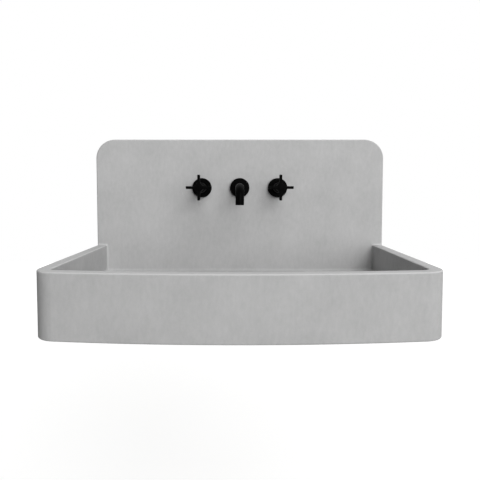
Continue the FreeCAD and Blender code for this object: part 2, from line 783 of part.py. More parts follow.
def make_valve(name, x, sign, to_side):
    """The brass body behind the wall, its neck through the splashback, and the cartridge in its bore."""
    chamber_end = "valve_end_wall + chamber_length"
    seat = chamber_end + " + seat_thick"
    shell = turned(f"{name}_valve_shell", [
        ("0", "0"),
        ("barrel_radius", "0"),
        ("barrel_radius", f"{VALVE_REAR} + {FLANGE_BACK}"),
        (FLANGE, f"{VALVE_REAR} + {FLANGE_BACK}"),
        (FLANGE, f"{VALVE_REAR} + {FLANGE_FRONT}"),
        (NECK, f"{VALVE_REAR} + {FLANGE_FRONT}"),
        (NECK, f"{VALVE_REAR} + {NECK_STEP}"),
        (NECK_TIP_RADIUS, f"{VALVE_REAR} + {NECK_STEP}"),
        (NECK_TIP_RADIUS, f"{VALVE_REAR} + {NECK_TIP}"),
        (NECK_BORE, f"{VALVE_REAR} + {NECK_TIP}"),
        (NECK_BORE, seat),
        (SEAL_BORE, seat),
        (SEAL_BORE, chamber_end),
        ("chamber_radius", chamber_end),
        ("chamber_radius", "valve_end_wall"),
        ("0", "valve_end_wall"),
    ])
    locate(shell, x, VALVE_REAR, "tap_height", TO_FRONT)
    boss, port_cuts = side_port(f"{name}_outlet", x, sign, to_side)
    inlet_depth = SEAT_DEPTH + " + seat_thick + chamber_length / 2"
    collar = cylinder(
        f"{name}_inlet_collar", "inlet_radius + inlet_collar_lip",
        "inlet_collar_reach " + negated(PORT_ROOT),
    )
    locate(collar, x, inlet_depth, "tap_height " + negated(PORT_ROOT), DOWN)
    thread = cylinder(f"{name}_inlet_thread", "inlet_radius", "inlet_thread")
    locate(thread, x, inlet_depth, "tap_height - inlet_collar_reach", DOWN)
    inlet = cylinder(f"{name}_inlet_bore", "inlet_bore", "inlet_collar_reach + inlet_thread")
    locate(inlet, x, inlet_depth, "tap_height", DOWN)
    outside = fused(f"{name}_valve_outside", [shell, boss, collar, thread])
    node(cut(f"{name}_valve_body", outside, port_cuts + [inlet]), f"{name}_valve_body")

    # Cartridge housing, screwed into the neck, with two windows level with the outlet
    foot_end = "seal_thick + 2 * disc_thick + foot_height + foot_gap"
    head = f"{NECK_TIP} + {SEAT_DEPTH}"
    top = head + " + cartridge_head_height"
    head_radius, spindle_bore = NECK_TIP_RADIUS + " - cartridge_head_inset", "spindle_radius + running_gap"
    housing = turned(f"{name}_cartridge", [
        (CHAMBER, "0"),
        (CARTRIDGE, "0"),
        (CARTRIDGE, head),
        (head_radius, head),
        (head_radius, top),
        (spindle_bore, top),
        (spindle_bore, foot_end),
        (CHAMBER, foot_end),
    ])
    locate(housing, x, SEAT_DEPTH, "tap_height", TO_FRONT)
    windows = cylinder(f"{name}_windows", "window_radius", f"{CARTRIDGE} + {CARTRIDGE}")
    locate(windows, joined(x, negated(CARTRIDGE)), "port_depth", "tap_height", TO_RIGHT)
    node(cut(f"{name}_cartridge_housing", housing, [windows]), f"{name}_cartridge_housing")

    # Rubber seal on the seat, then the ceramic discs: ports side by side in the fixed one, one above
    # the other in the moving one, so that the water is shut off at rest
    seal = ring(f"{name}_disc_seal", SEAL_BORE, "disc_radius", "0", "seal_thick")
    node(locate(seal, x, SEAT_DEPTH, "tap_height", TO_FRONT), f"{name}_disc_seal")
    fixed_depth = SEAT_DEPTH + " - seal_thick"
    beside = [(f"{x} {way} disc_port_offset", "tap_height") for way in "+-"]
    stacked = [(x, f"tap_height {way} disc_port_offset") for way in "+-"]
    discs = (("fixed", fixed_depth, beside), ("moving", fixed_depth + " - disc_thick", stacked))
    for kind, depth, ports in discs:
        disc = cylinder(f"{name}_{kind}_blank", "disc_radius", "disc_thick")
        locate(disc, x, depth, "tap_height", TO_FRONT)
        holes = []
        for index, (across, up) in enumerate(ports):
            hole = cylinder(f"{name}_{kind}_port_{index}", "disc_port_radius", "disc_thick")
            holes.append(locate(hole, across, depth, up, TO_FRONT))
        node(cut(f"{name}_{kind}_disc", disc, holes), f"{name}_{kind}_disc")


def make_handle(name, x):
    """Spindle, hub, cross and screw: everything that a hand turns, and the fixed sleeve behind it."""
    sleeve = ring(
        f"{name}_cover_sleeve", SLEEVE_BORE, SLEEVE,
        ROSETTE_FRONT, SLEEVE_FRONT,
    )
    node(locate(sleeve, x, "0", "tap_height", TO_FRONT), f"{name}_cover_sleeve")

    tip = f"{SPINDLE_TIP} + {FOOT_DEPTH}"
    tapping = "screw_radius + fitted_gap"
    tapping_end = tip + " - screw_bite - screw_spare"
    spindle = turned(f"{name}_spindle", [
        ("0", "0"),
        ("disc_radius", "0"),
        ("disc_radius", "foot_height"),
        ("spindle_radius", "foot_height"),
        ("spindle_radius", tip),
        (tapping, tip),
        (tapping, tapping_end),
        ("0", tapping_end),
    ])
    node(locate(spindle, x, FOOT_DEPTH, "tap_height", TO_FRONT), f"{name}_spindle")

    socket, screw_hole = "spindle_radius + fitted_gap", "screw_radius + screw_hole_gap"
    hub = turned(f"{name}_handle_hub", [
        (socket, HUB_BACK),
        (SLEEVE, HUB_BACK),
        (SLEEVE, HUB_BACK + " + hub_root_length"),
        ("hub_tip_radius", CROSS_BACK + " - hub_tip_length"),
        ("hub_tip_radius", CROSS_BACK),
        (screw_hole, CROSS_BACK),
        (screw_hole, SPINDLE_TIP),
        (socket, SPINDLE_TIP),
    ])
    node(locate(hub, x, "0", "tap_height", TO_FRONT), f"{name}_handle_hub")

    cross = doc.addObject("PartDesign::Body", f"{name}_cross_arms")
    star = flat_sketch(cross, "XY_Plane", f"{name}_star", CROSS_BACK)
    outline(star, star_corners())
    pad(cross, star, "arm_thick")
    centre = flat_sketch(cross, "XY_Plane", f"{name}_screw_hole", CROSS_FRONT)
    circles(centre, [("0", "0")], screw_hole)
    pocket(cross, centre, "arm_thick")
    recess = flat_sketch(cross, "XY_Plane", f"{name}_screw_recess", CROSS_FRONT)
    circles(recess, [("0", "0")], SCREW_RECESS)
    pocket(cross, recess, RECESS_DEPTH)
    rounded(
        cross, f"{name}_arm_tips", "arm_thick / 2 - arm_tip_flat",
        lambda edge: upright(edge) and not on_axis(edge, number("arm_reach") - 2 * NEAR),
    )
    faces = (number(CROSS_BACK), number(CROSS_FRONT))
    rounded(
        cross, f"{name}_arm_edges", "arm_thick / 2 - arm_edge_flat",
        lambda edge: any(level(edge, face) for face in faces) and not on_axis(edge, number(SCREW_RECESS)),
    )
    node(locate(cross, x, "0", "tap_height", TO_FRONT), f"{name}_cross_arms")

    start, end = SPINDLE_TIP + " - screw_bite", f"{CROSS_FRONT} {negated(RECESS_DEPTH)}"
    screw = turned(f"{name}_handle_screw", [
        ("0", start),
        ("screw_radius", start),
        ("screw_radius", end),
        (SCREW_HEAD, end),
        (SCREW_HEAD, end + " + screw_head_height"),
        ("0", end + " + screw_head_height"),
    ])
    node(locate(screw, x, "0", "tap_height", TO_FRONT), f"{name}_handle_screw")

    edge, top = SCREW_RECESS + " + cap_lip", CROSS_FRONT + " + cap_thick"
    cap = turned(f"{name}_index_cap", [
        ("0", CROSS_FRONT), (edge, CROSS_FRONT), (edge, top), ("0", top),
    ])
    rounded(cap, f"{name}_cap_edge", "cap_edge", lambda edge: level(edge, number(top)))
    node(locate(cap, x, "0", "tap_height", TO_FRONT), f"{name}_index_cap")


def star_corners():
    """The outline of four equal arms with a cove between each two."""
    half, cove, reach = "arm_thick / 2", "arm_thick / 2 + arm_cove_radius", "arm_reach"
    quarter = [
        (reach, negated(half), None),
        (reach, half, None),
        (cove, half, "- arm_cove_radius"),
        (half, cove, None),
    ]
    corners = []
    for turn in range(4):
        for x, y, arc in quarter:
            for step in range(turn):
                x, y = negated(y), x
            corners.append((x, y, arc))
    return corners


def on_axis(edge, reach):
    """Whether an edge stays within a reach of the piece's own Z axis."""
    box = edge.BoundBox
    return max(abs(box.XMin), abs(box.XMax), abs(box.YMin), abs(box.YMax)) < reach + NEAR


TAPS = (
    ("hot", "- tap_spacing / 2", "+", TO_RIGHT),
    ("cold", "tap_spacing / 2", "-", TO_LEFT),
)
for name, x, sign, to_side in TAPS:
    make_valve(name, x, sign, to_side)
    clamp_pieces(name, x)
    rosette(f"{name}_rosette", x, NECK_TIP_RADIUS)
    make_handle(name, x)

# Spout, its tee behind the wall, and the pipes that bring it hot and cold water

SPOUT_BORE = "spout_radius - spout_wall"
SPOUT_SOCKET = "spout_radius - spout_socket_wall"
SPOUT_NECK = SPOUT_SOCKET + " - fitted_gap"
TEE_BORE = SPOUT_NECK + " - tee_wall"
SPOUT_TIP = "spout_radius - spout_taper"
AERATOR_SEAT = SPOUT_TIP + " - aerator_wall"
AERATOR = AERATOR_SEAT + " - fitted_gap"
AERATOR_BORE = AERATOR + " - aerator_ring"
OUTLET = ("0", "- splash_thick - spout_reach")
OUTLET_LEVEL = "tap_height - spout_bend_radius - spout_tip_length"


def make_tee():
    """A brass tee with the same flange and neck as the valves, and a port on each side."""
    shell = turned("tee_shell", [
        ("0", "0"),
        ("barrel_radius", "0"),
        ("barrel_radius", f"{TEE_REAR} + {FLANGE_BACK}"),
        (FLANGE, f"{TEE_REAR} + {FLANGE_BACK}"),
        (FLANGE, f"{TEE_REAR} + {FLANGE_FRONT}"),
        (NECK, f"{TEE_REAR} + {FLANGE_FRONT}"),
        (NECK, f"{TEE_REAR} + {NECK_STEP}"),
        (SPOUT_NECK, f"{TEE_REAR} + {NECK_STEP}"),
        (SPOUT_NECK, f"{TEE_REAR} + {NECK_TIP}"),
        (TEE_BORE, f"{TEE_REAR} + {NECK_TIP}"),
        (TEE_BORE, "tee_end_wall"),
        ("0", "tee_end_wall"),
    ])
    locate(shell, "0", TEE_REAR, "tap_height", TO_FRONT)
    left_boss, left_cuts = side_port("tee_left", "0", "-", TO_LEFT)
    right_boss, right_cuts = side_port("tee_right", "0", "+", TO_RIGHT)
    outside = fused("tee_outside", [shell, left_boss, right_boss])
    node(cut("spout_tee", outside, left_cuts + right_cuts), "spout_tee")


def make_pipes():
    """A copper pipe from each valve to the tee, with a compression nut at each end."""
    length = "tap_spacing / 2 - 2 * barrel_radius - 2 * port_length + 2 * pipe_socket"
    left_end = joined("- tap_spacing / 2", PORT_REACH) + " - pipe_socket"
    for name, start in (("hot", left_end), ("cold", PORT_REACH + " - pipe_socket")):
        pipe = ring(f"{name}_transfer_pipe", "pipe_radius - pipe_wall", "pipe_radius", "0", length)
        node(locate(pipe, start, "port_depth", "tap_height", TO_RIGHT), f"{name}_transfer_pipe")
    nuts = []
    ends = [(x, sign, to_side) for name, x, sign, to_side in TAPS]
    ends += [("0", "-", TO_LEFT), ("0", "+", TO_RIGHT)]
    for index, (x, sign, to_side) in enumerate(ends):
        grip = PORT_REACH + " - pipe_nut_grip"
        start = joined(x, grip if sign == "+" else negated(grip))
        blank = hexagon(f"pipe_nut_blank_{index}", PORT + " + pipe_nut_wall", "pipe_nut_length")
        wide = cylinder(f"pipe_nut_wide_{index}", PORT + " + fitted_gap", "pipe_nut_grip")
        narrow = cylinder(f"pipe_nut_narrow_{index}", "pipe_radius + fitted_gap", "pipe_nut_length")
        for shape in (blank, wide, narrow):
            locate(shape, start, "port_depth", "tap_height", to_side)
        nuts.append(cut(f"pipe_nut_{index}", blank, [wide, narrow]))
    node(group("pipe_nuts", nuts), "compression_nuts")


def spout_run(name, radius, tip_radius):
    """The spout's run at one radius: straight out of the rosette, round the bend and down to the tip."""
    bend_front = "splash_thick + spout_reach - spout_bend_radius"
    straight = cylinder(f"{name}_straight", radius, f"{bend_front} {negated(ROSETTE_FRONT)}")
    locate(straight, "0", negated(ROSETTE_FRONT), "tap_height", TO_FRONT)
    bend = doc.addObject("Part::Torus", f"{name}_bend")
    bend.Angle3 = 90
    bind(bend, Radius1="spout_bend_radius", Radius2=radius)
    over = FreeCAD.Rotation(Vector(0, 0, 1), Vector(0, -1, 0), Vector(1, 0, 0), "XYZ")
    locate(bend, "0", negated(bend_front), "tap_height - spout_bend_radius", over)
    tip = doc.addObject("Part::Cone", f"{name}_tip")
    bind(tip, Radius1=radius, Radius2=tip_radius, Height="spout_tip_length")
    locate(tip, *OUTLET, "tap_height - spout_bend_radius", DOWN)
    return fused(f"{name}_run", [straight, bend, tip])


def make_spout():
    """The bent spout with its bore, a socket for the tee's neck and a seat for the aerator."""
    outside = spout_run("spout_outer", "spout_radius", SPOUT_TIP)
    bore = spout_run("spout_inner", SPOUT_BORE, SPOUT_BORE)
    socket = cylinder("spout_socket", SPOUT_SOCKET, "neck_grip + spout_socket_spare")
    locate(socket, "0", negated(ROSETTE_FRONT), "tap_height", TO_FRONT)
    seat = cylinder("aerator_seat", AERATOR_SEAT, "aerator_height + aerator_setback")
    locate(seat, *OUTLET, OUTLET_LEVEL)
    node(cut("spout_tube", outside, [bore, socket, seat]), "spout_tube")

    # Aerator: a screwed ring with a lip, and the jet plate that rests on the lip
    bottom = OUTLET_LEVEL + " + aerator_setback"
    mouth = AERATOR_BORE + " - aerator_lip"
    housing = turned("aerator_housing", [
        (mouth, "0"),
        (AERATOR, "0"),
        (AERATOR, "aerator_height"),
        (AERATOR_BORE, "aerator_height"),
        (AERATOR_BORE, "aerator_lip"),
        (mouth, "aerator_lip"),
    ])
    node(locate(housing, *OUTLET, bottom), "aerator_housing")
    plate = doc.addObject("PartDesign::Body", "aerator_insert")
    disc = flat_sketch(plate, "XY_Plane", "jet_plate")
    circles(disc, [("0", "0")], AERATOR_BORE + " - fitted_gap")
    pad(plate, disc, "jet_plate_thick")
    jet = flat_sketch(plate, "XY_Plane", "jet_hole", "jet_plate_thick")
    circles(jet, [("jet_ring_radius", "0")], "jet_radius")
    hole = pocket(plate, jet, "jet_plate_thick")
    jets = plate.newObject("PartDesign::PolarPattern", "jet_ring")
    jets.Originals = [hole]
    jets.Axis = (jet, ["N_Axis"])
    jets.Angle = 360
    jets.Occurrences = 6
    plate.Tip = jets
    node(locate(plate, *OUTLET, bottom + " + aerator_lip"), "aerator_insert")


make_tee()
clamp_pieces("spout", "0")
rosette("spout_rosette", "0", SPOUT_NECK)
make_spout()
make_pipes()

# Waste with a push plug

TUBE_HOLE = "waste_tube_radius + fitted_gap"
WASTE_BORE = "waste_tube_radius - waste_wall"
CLAMPED = "floor_thick - floor_fall - waste_flange_thick + lower_seal_thick + back_nut_thick"
THREAD_LENGTH = CLAMPED + " + waste_thread_spare"
STEM_BORE = "stem_radius + running_gap"
CLICK_NECK = STEM_BORE + " + click_neck_wall"
CLICK_HOLE = CLICK_NECK + " + fitted_gap"


def make_waste():
    """The waste's body with a crossbar in its bore, its tailpiece, its two seals and its back nut."""
    top = THREAD_LENGTH + " + waste_flange_thick"
    tube = turned("waste_tube", [
        (WASTE_BORE, "0"),
        ("waste_tube_radius", "0"),
        ("waste_tube_radius", THREAD_LENGTH),
        (WASTE_FLANGE, THREAD_LENGTH),
        (WASTE_FLANGE, top),
        (WASTE_BORE, top),
    ])
    rounded(tube, "waste_rim", "waste_edge", lambda edge: level(edge, number(top)))
    tube_end = f"{DRAIN_LEVEL} {negated(top)}"
    locate(tube, *DRAIN, tube_end)
    bar_bottom = DRAIN_LEVEL + " - crossbar_level - crossbar_height"
    half_length, half_width = "waste_tube_radius - waste_wall / 2", CLICK_HOLE + " + crossbar_web"
    bar = doc.addObject("Part::Box", "crossbar")
    bind(
        bar, Length=f"{half_length} + {half_length}", Width=f"{half_width} + {half_width}",
        Height="crossbar_height",
    )
    locate(bar, negated(half_length), f"- drain_setback {negated(half_width)}", bar_bottom)
    hole = cylinder("crossbar_hole", CLICK_HOLE, "crossbar_height")
    locate(hole, *DRAIN, bar_bottom)
    node(cut("waste_body", fused("waste_solid", [tube, bar]), [hole]), "waste_body")

    # Tailpiece for the trap, screwed into the lower end of the body
    tail_bore, collar = "waste_tail_radius - waste_tail_wall", WASTE_BORE + " - fitted_gap"
    tail_top = "waste_tail_length + waste_tail_bite"
    tail = turned("waste_tailpiece", [
        (tail_bore, "0"),
        ("waste_tail_radius", "0"),
        ("waste_tail_radius", "waste_tail_length"),
        (collar, "waste_tail_length"),
        (collar, tail_top),
        (tail_bore, tail_top),
    ])
    node(locate(tail, *DRAIN, tube_end + " - waste_tail_length"), "waste_tailpiece")

    top_seal = ring("waste_top_seal", TUBE_HOLE, WASTE_FLANGE, "0", "waste_seal_thick")
    seal_level = DRAIN_LEVEL + " - waste_flange_thick - waste_seal_thick"
    node(locate(top_seal, *DRAIN, seal_level), "waste_top_seal")
    lower_level = UNDERSIDE + " - lower_seal_thick"
    seal_edge = TUBE_HOLE + " + lower_seal_width"
    lower_seal = ring("waste_lower_seal", TUBE_HOLE, seal_edge, "0", "lower_seal_thick")
    node(locate(lower_seal, *DRAIN, lower_level), "waste_lower_seal")
    blank = hexagon("back_nut_blank", TUBE_HOLE + " + back_nut_wall", "back_nut_thick")
    bore = cylinder("back_nut_bore", TUBE_HOLE, "back_nut_thick")
    for shape in (blank, bore):
        locate(shape, *DRAIN, lower_level + " - back_nut_thick")
    node(cut("waste_back_nut", blank, [bore]), "waste_back_nut")

    shoulder, top = CLICK_NECK + " + click_shoulder", "crossbar_height + click_height"
    guide = turned("click_cartridge", [
        (STEM_BORE, "0"),
        (CLICK_NECK, "0"),
        (CLICK_NECK, "crossbar_height"),
        (shoulder, "crossbar_height"),
        (shoulder, top),
        (STEM_BORE, top),
    ])
    node(locate(guide, *DRAIN, bar_bottom), "click_cartridge")


def make_plug():
    """The plug at rest, shut: its seal lies on the flange and its stem stands in the click cartridge."""
    seal_bore, edge = WASTE_BORE + " + plug_seal_margin", WASTE_FLANGE + " - plug_inset"
    seal = ring("plug_seal", seal_bore, seal_bore + " + plug_seal_width", "0", "plug_seal_thick")
    node(locate(seal, *DRAIN, DRAIN_LEVEL), "plug_seal")
    cap_level = DRAIN_LEVEL + " + plug_seal_thick"
    cap = turned("plug_cap", [
        ("0", "0"), (edge, "0"), (edge, "plug_thick"), ("0", "plug_thick"),
    ])
    rounded(cap, "plug_rim", "plug_edge", lambda edge: level(edge, number("plug_thick")))
    node(locate(cap, *DRAIN, cap_level), "plug_cap")
    stem = turned("plug_stem", [
        ("0", "0"), ("stem_radius", "0"), ("stem_radius", "stem_length"), ("0", "stem_length"),
    ])
    node(locate(stem, *DRAIN, cap_level + " - stem_length"), "plug_stem")


make_waste()
make_plug()

# Checks and files

doc.recompute()
for item in doc.Objects:
    if {"Invalid", "Error"} & set(item.State):
        raise ValueError(f"{item.Name} failed: {item.State}")
os.makedirs("parts", exist_ok=True)
for piece in nodes:
    shape = piece.Shape
    if shape.isNull() or not shape.isValid():
        raise ValueError(f"{piece.Label} has no valid shape")
    shape.exportStep(f"parts/{piece.Label}.step")
    print(f"{piece.Label}: {len(shape.Solids)} solid, {shape.Volume / 1000:.2f} cm3")
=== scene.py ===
import math

import bmesh
import bpy
from mathutils import Matrix, Vector


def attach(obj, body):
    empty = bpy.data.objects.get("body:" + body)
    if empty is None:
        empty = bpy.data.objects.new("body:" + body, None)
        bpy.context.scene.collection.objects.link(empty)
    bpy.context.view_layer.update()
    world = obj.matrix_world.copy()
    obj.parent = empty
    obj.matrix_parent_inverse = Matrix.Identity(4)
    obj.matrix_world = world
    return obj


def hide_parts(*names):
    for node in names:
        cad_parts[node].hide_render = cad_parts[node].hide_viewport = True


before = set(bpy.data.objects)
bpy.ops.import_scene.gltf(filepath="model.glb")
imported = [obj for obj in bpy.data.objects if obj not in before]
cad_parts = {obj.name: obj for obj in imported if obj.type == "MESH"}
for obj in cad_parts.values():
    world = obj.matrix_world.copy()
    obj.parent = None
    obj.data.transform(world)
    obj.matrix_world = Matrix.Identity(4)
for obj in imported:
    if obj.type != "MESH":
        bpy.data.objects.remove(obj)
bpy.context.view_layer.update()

# The casting: bowl, apron and splashback in one pour of pale grey concrete. It is cast face down in a
# smooth coated mould, so its faces are closed and matt, clouded by the cement and streaked where the
# mix ran down the mould's sides, with a few pinholes left by air. It hangs on the wall and carries the rest.

MM = 0.001
CONCRETE_PALE = "#BCBCBC"
CONCRETE_DEEP = "#ADADAD"
CONCRETE_HIGHLIGHT = "#C0C0C0"
PINHOLE_PAINTED_SHADE = "#7A7A7A"
GRAIN_SHARE = 0.25
MOTTLE_RANGE = (0.75, 1.5)
RIM_BAND = (-8 * MM, -4 * MM)
RIM_TOP_HIGHLIGHT = 0.4
EDGE_FACING = (0.15, 0.5)
FLAT_FACING = (0.99, 0.9)
PINHOLE_SPACING = 20 * MM
PINHOLE_RADIUS = 0.6 * MM
PINHOLE_FREE = 0.7
PINHOLE_SINK = -3.0


def linear(colour):
    """An sRGB hex colour as linear red, green, blue and alpha."""
    parts = [int(colour[i:i + 2], 16) / 255 for i in (1, 3, 5)]
    return [c / 12.92 if c <= 0.04045 else ((c + 0.055) / 1.055) ** 2.4 for c in parts] + [1.0]


def add(tree, kind, inputs=(), **settings):
    """Adds a node with its settings. Each input is a plain value or another node's output."""
    node = tree.nodes.new("ShaderNode" + kind)
    for name, value in settings.items():
        setattr(node, name, value)
    for name, value in dict(inputs).items():
        socket = next(s for i, s in enumerate(node.inputs) if name in (i, s.name) and s.enabled)
        if isinstance(value, bpy.types.NodeSocket):
            tree.links.new(value, socket)
        else:
            socket.default_value = value
    return node


def new_material(name, inputs):
    """A material whose shader has these uniform values. Gives it with its tree, shader and coordinates."""
    material = bpy.data.materials.new(name)
    material.use_nodes = True
    tree = material.node_tree
    shader = tree.nodes["Principled BSDF"]
    for socket, value in inputs.items():
        shader.inputs[socket].default_value = value
    return material, tree, shader, add(tree, "TexCoord").outputs["Object"]


def vary(tree, shader, outputs):
    """Links what changes over a surface to its shader, by the names of the shader's sockets."""
    for socket, output in outputs.items():
        tree.links.new(output, shader.inputs[socket])


def dress(material, *names):
    """Gives CAD pieces their finished material."""
    for name in names:
        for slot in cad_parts[name].material_slots:
            slot.material = material


# Fair-faced concrete gives a broad cloudiness, fine upright streaks, a sandy grain and stray pinholes, and
# its rims and upper edges get a painted highlight, mixed paler where light would catch them. Sand of half a
# millimetre wouldn't show, so the grain is drawn at 3 mm
concrete, tree, shader, place = new_material("fair_faced_concrete", {"Specular IOR Level": 0.12})
clouds = add(tree, "TexNoise", {"Vector": place, "Scale": 1 / (90 * MM), "Detail": 4, "Roughness": 0.6})
run_down = add(tree, "Mapping", {"Vector": place, "Scale": (1 / (8 * MM), 1 / (8 * MM), 1 / (18 * MM))})
streaks = add(tree, "TexNoise", {"Vector": run_down.outputs[0], "Scale": 1, "Detail": 6, "Roughness": 0.7})
grain = add(tree, "TexNoise", {"Vector": place, "Scale": 1 / (3 * MM), "Detail": 2, "Roughness": 0.5})
mottle = add(tree, "Math", {0: clouds.outputs[0], 1: streaks.outputs[0]}, operation="ADD")
sandy = add(tree, "Math", {
    0: grain.outputs[0], 1: GRAIN_SHARE, 2: mottle.outputs[0],
}, operation="MULTIPLY_ADD")
darkest, palest = MOTTLE_RANGE
tone = add(tree, "MapRange", {"Value": sandy.outputs[0], "From Min": darkest, "From Max": palest})
paste = add(tree, "Mix", {
    "Factor": tone.outputs[0], "A": linear(CONCRETE_DEEP), "B": linear(CONCRETE_PALE),
}, data_type="RGBA")
# Painted highlight: the rim tops and their rounded edges, fading out by 8 mm below the rim, are mixed
# towards a paler grey
facing = add(tree, "SeparateXYZ", {"Vector": add(tree, "TexCoord").outputs["Normal"]}).outputs["Z"]
level = add(tree, "SeparateXYZ", {"Vector": place}).outputs["Z"]
upright, leaning = EDGE_FACING
rising = add(tree, "MapRange", {"Value": facing, "From Min": upright, "From Max": leaning})
flat, curved = FLAT_FACING
sloped = add(tree, "MapRange", {
    "Value": facing, "From Min": flat, "From Max": curved,
    "To Min": RIM_TOP_HIGHLIGHT, "To Max": rising.outputs[0],
})
bottom, top = RIM_BAND
rubbed_and_highlight = add(tree, "MapRange", {
    "Value": level, "From Min": bottom, "From Max": top, "To Max": sloped.outputs[0],
})
paste = add(tree, "Mix", {
    "Factor": rubbed_and_highlight.outputs[0], "A": paste.outputs[2], "B": linear(CONCRETE_HIGHLIGHT),
}, data_type="RGBA")
# Painted shade: each pinhole is coloured a darker grey for the shadow inside its hollow, besides being sunk
# in the bump
cells = add(tree, "TexVoronoi", {"Vector": place, "Scale": 1 / PINHOLE_SPACING})
chance = add(tree, "SeparateColor", {"Color": cells.outputs["Color"]})
width = add(tree, "MapRange", {
    "Value": chance.outputs[0], "From Min": PINHOLE_FREE, "To Max": PINHOLE_RADIUS / PINHOLE_SPACING,
})
pinhole = add(tree, "Math", {0: cells.outputs["Distance"], 1: width.outputs[0]}, operation="LESS_THAN")
colour = add(tree, "Mix", {
    "Factor": pinhole.outputs[0], "A": paste.outputs[2], "B": linear(PINHOLE_PAINTED_SHADE),
}, data_type="RGBA")
matt = add(tree, "MapRange", {
    "Value": sandy.outputs[0], "From Min": darkest, "From Max": palest, "To Min": 0.88, "To Max": 0.7,
})
sunk = add(tree, "Math", {
    0: pinhole.outputs[0], 1: PINHOLE_SINK, 2: grain.outputs[0],
}, operation="MULTIPLY_ADD")
relief = add(tree, "Bump", {"Height": sunk.outputs[0], "Strength": 0.25, "Distance": 0.4 * MM})
vary(tree, shader, {
    "Base Color": colour.outputs[2], "Roughness": matt.outputs[0], "Normal": relief.outputs[0],
})
dress(concrete, "concrete_basin")

# The wall fixing: two angle brackets of 6 mm steel plate, bent, welded to a gusset and powder coated black.
# They stand on the wall under the bowl, where the apron hides them. A rubber pad lies on each, and bolts
# with washers go up through the steel into sockets that were cast into the concrete.

POWDER_BLACK = "#232425"
POWDER_WORN = "#2E2F30"
RUBBER_BLACK = "#1A1A1A"
RUBBER_BLOOM = "#242424"
ZINC_PALE = "#C6C9CC"
ZINC_DULL = "#A3A7AB"
SPANGLE_SHARE = 0.4
BRASS_BRIGHT = "#C9A765"
BRASS_TARNISH = "#A78145"
WAVE_PERIOD = 0.314

# Powder coat flows into a fine pebbled skin. The pebbles of half a millimetre are drawn at 1.5 mm
powder, tree, shader, place = new_material("black_powder_coat", {"Specular IOR Level": 0.4})
pebbles = add(tree, "TexNoise", {"Vector": place, "Scale": 1 / (1.5 * MM), "Detail": 1})
handled = add(tree, "TexNoise", {"Vector": place, "Scale": 1 / (40 * MM), "Detail": 4})
colour = add(tree, "Mix", {
    "Factor": handled.outputs[0], "A": linear(POWDER_BLACK), "B": linear(POWDER_WORN),
}, data_type="RGBA")
sheen = add(tree, "MapRange", {"Value": handled.outputs[0], "To Min": 0.5, "To Max": 0.65})
relief = add(tree, "Bump", {"Height": pebbles.outputs[0], "Strength": 0.3, "Distance": 0.3 * MM})
vary(tree, shader, {
    "Base Color": colour.outputs[2], "Roughness": sheen.outputs[0], "Normal": relief.outputs[0],
})
dress(powder, "wall_bracket_left", "wall_bracket_right")

# Moulded rubber is dull and nearly black, with a grey bloom and a faint cloth print from the press
rubber, tree, shader, place = new_material("moulded_rubber", {"Specular IOR Level": 0.35})
bloom = add(tree, "TexNoise", {"Vector": place, "Scale": 1 / (12 * MM), "Detail": 5, "Roughness": 0.65})
cloth = add(tree, "TexNoise", {"Vector": place, "Scale": 1 / MM, "Detail": 0})
colour = add(tree, "Mix", {
    "Factor": bloom.outputs[0], "A": linear(RUBBER_BLACK), "B": linear(RUBBER_BLOOM),
}, data_type="RGBA")
dull = add(tree, "MapRange", {"Value": bloom.outputs[0], "To Min": 0.75, "To Max": 0.95})
relief = add(tree, "Bump", {"Height": cloth.outputs[0], "Strength": 0.2, "Distance": 0.2 * MM})
vary(tree, shader, {
    "Base Color": colour.outputs[2], "Roughness": dull.outputs[0], "Normal": relief.outputs[0],
})
dress(rubber, "bracket_pad_left", "bracket_pad_right")

# Zinc plate is a bluish grey metal with a soft spangle and dulled patches
zinc, tree, shader, place = new_material("zinc_plated_steel", {"Metallic": 1.0})
spangle = add(tree, "TexVoronoi", {"Vector": place, "Scale": 1 / (2.5 * MM)})
dulled = add(tree, "TexNoise", {"Vector": place, "Scale": 1 / (6 * MM), "Detail": 4})
patches = add(tree, "SeparateColor", {"Color": spangle.outputs["Color"]})
worn = add(tree, "Math", {
    0: patches.outputs[0], 1: SPANGLE_SHARE, 2: dulled.outputs[0],
}, operation="MULTIPLY_ADD")
colour = add(tree, "Mix", {
    "Factor": worn.outputs[0], "A": linear(ZINC_PALE), "B": linear(ZINC_DULL),
}, data_type="RGBA")
gloss = add(tree, "MapRange", {"Value": worn.outputs[0], "To Min": 0.3, "To Max": 0.5})
vary(tree, shader, {"Base Color": colour.outputs[2], "Roughness": gloss.outputs[0]})
dress(zinc, "bracket_bolts", "bracket_washers", "hot_handle_screw", "cold_handle_screw")

# Turned brass shows fine tool rings round its axis, and tarnishes in brownish clouds. The rings of a tenth
# of a millimetre are drawn at 0.8 mm
brass, tree, shader, place = new_material("turned_brass", {"Metallic": 1.0})
tarnish = add(tree, "TexNoise", {"Vector": place, "Scale": 1 / (18 * MM), "Detail": 5, "Roughness": 0.6})
rings = add(tree, "TexWave", {
    "Vector": place, "Scale": WAVE_PERIOD / (0.8 * MM), "Distortion": 0.4,
}, bands_direction="Y")
colour = add(tree, "Mix", {
    "Factor": tarnish.outputs[0], "A": linear(BRASS_BRIGHT), "B": linear(BRASS_TARNISH),
}, data_type="RGBA")
gloss = add(tree, "MapRange", {"Value": tarnish.outputs[0], "To Min": 0.24, "To Max": 0.46})
relief = add(tree, "Bump", {"Height": rings.outputs["Fac"], "Strength": 0.8, "Distance": 0.03 * MM})
vary(tree, shader, {
    "Base Color": colour.outputs[2], "Roughness": gloss.outputs[0], "Normal": relief.outputs[0],
})
dress(brass, "threaded_inserts")

# The valves: brass bodies turned from bar, one behind the wall for each tap. Each has a flange that bears
# on the back of the splashback and a neck that comes through it, clamped by a locknut between washers.
# A ceramic disc cartridge sits in the bore, and the supply screws on to the thread below.

CERAMIC_WHITE = "#ECE9E1"
CERAMIC_CREAM = "#E0DCD2"

